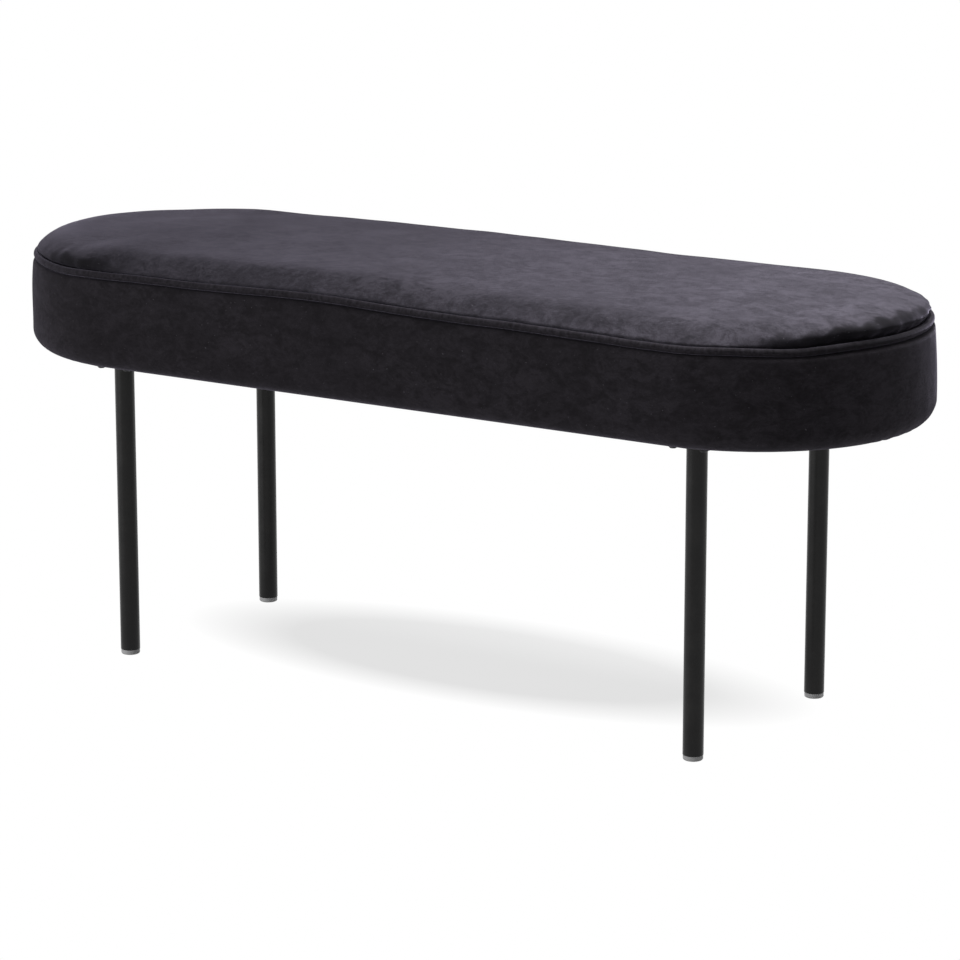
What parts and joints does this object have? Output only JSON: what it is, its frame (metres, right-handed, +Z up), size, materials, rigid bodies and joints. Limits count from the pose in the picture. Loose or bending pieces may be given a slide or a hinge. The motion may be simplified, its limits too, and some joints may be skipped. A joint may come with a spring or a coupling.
{
  "type": "upholstered bench",
  "caption": "Oval bench with a crowned, piped velvet cushion over a wooden seat box, on straight round steel legs with domed glides.",
  "frame": {"origin": "on the floor, below the middle of the seat", "axes": "+X along the bench, +Y from its front to its back, +Z up"},
  "size_m": [1.1, 0.39, 0.478],
  "materials": {
    "velvet": "very dark violet-black velvet, short nap with soft mottling",
    "velvet_piping": "the same velvet, cut on the bias over a cord",
    "cotton_cord": "white twisted cotton",
    "wadding": "white polyester wadding",
    "foam": "cream polyurethane foam",
    "plywood": "bare birch plywood",
    "zinc_steel": "bright zinc plated steel",
    "black_zinc": "black zinc plated steel",
    "cambric": "thin black non-woven cloth",
    "black_steel": "satin black powder coat",
    "glide_plastic": "light grey nylon"
  },
  "bodies": {
    "root": {"top_panel": "velvet", "side_band": "velvet", "piping_cover": "velvet_piping", "piping_cord": "cotton_cord", "top_wadding": "wadding", "top_foam": "foam", "side_foam": "foam", "bottom_board": "plywood", "top_board": "plywood", "front_rail": "plywood", "back_rail": "plywood", "left_end_former": "plywood", "right_end_former": "plywood", "left_cross_rail": "plywood", "centre_cross_rail": "plywood", "right_cross_rail": "plywood", "bottom_board_screws": "zinc_steel", "top_board_screws": "zinc_steel", "dust_cover": "cambric", "front_left_leg": "black_steel", "front_left_plate": "black_steel", "front_left_glide": "glide_plastic", "front_right_leg": "black_steel", "front_right_plate": "black_steel", "front_right_glide": "glide_plastic", "back_left_leg": "black_steel", "back_left_plate": "black_steel", "back_left_glide": "glide_plastic", "back_right_leg": "black_steel", "back_right_plate": "black_steel", "back_right_glide": "glide_plastic", "leg_screws": "black_zinc", "flanged_nuts": "zinc_steel"}
  },
  "joints": []
}
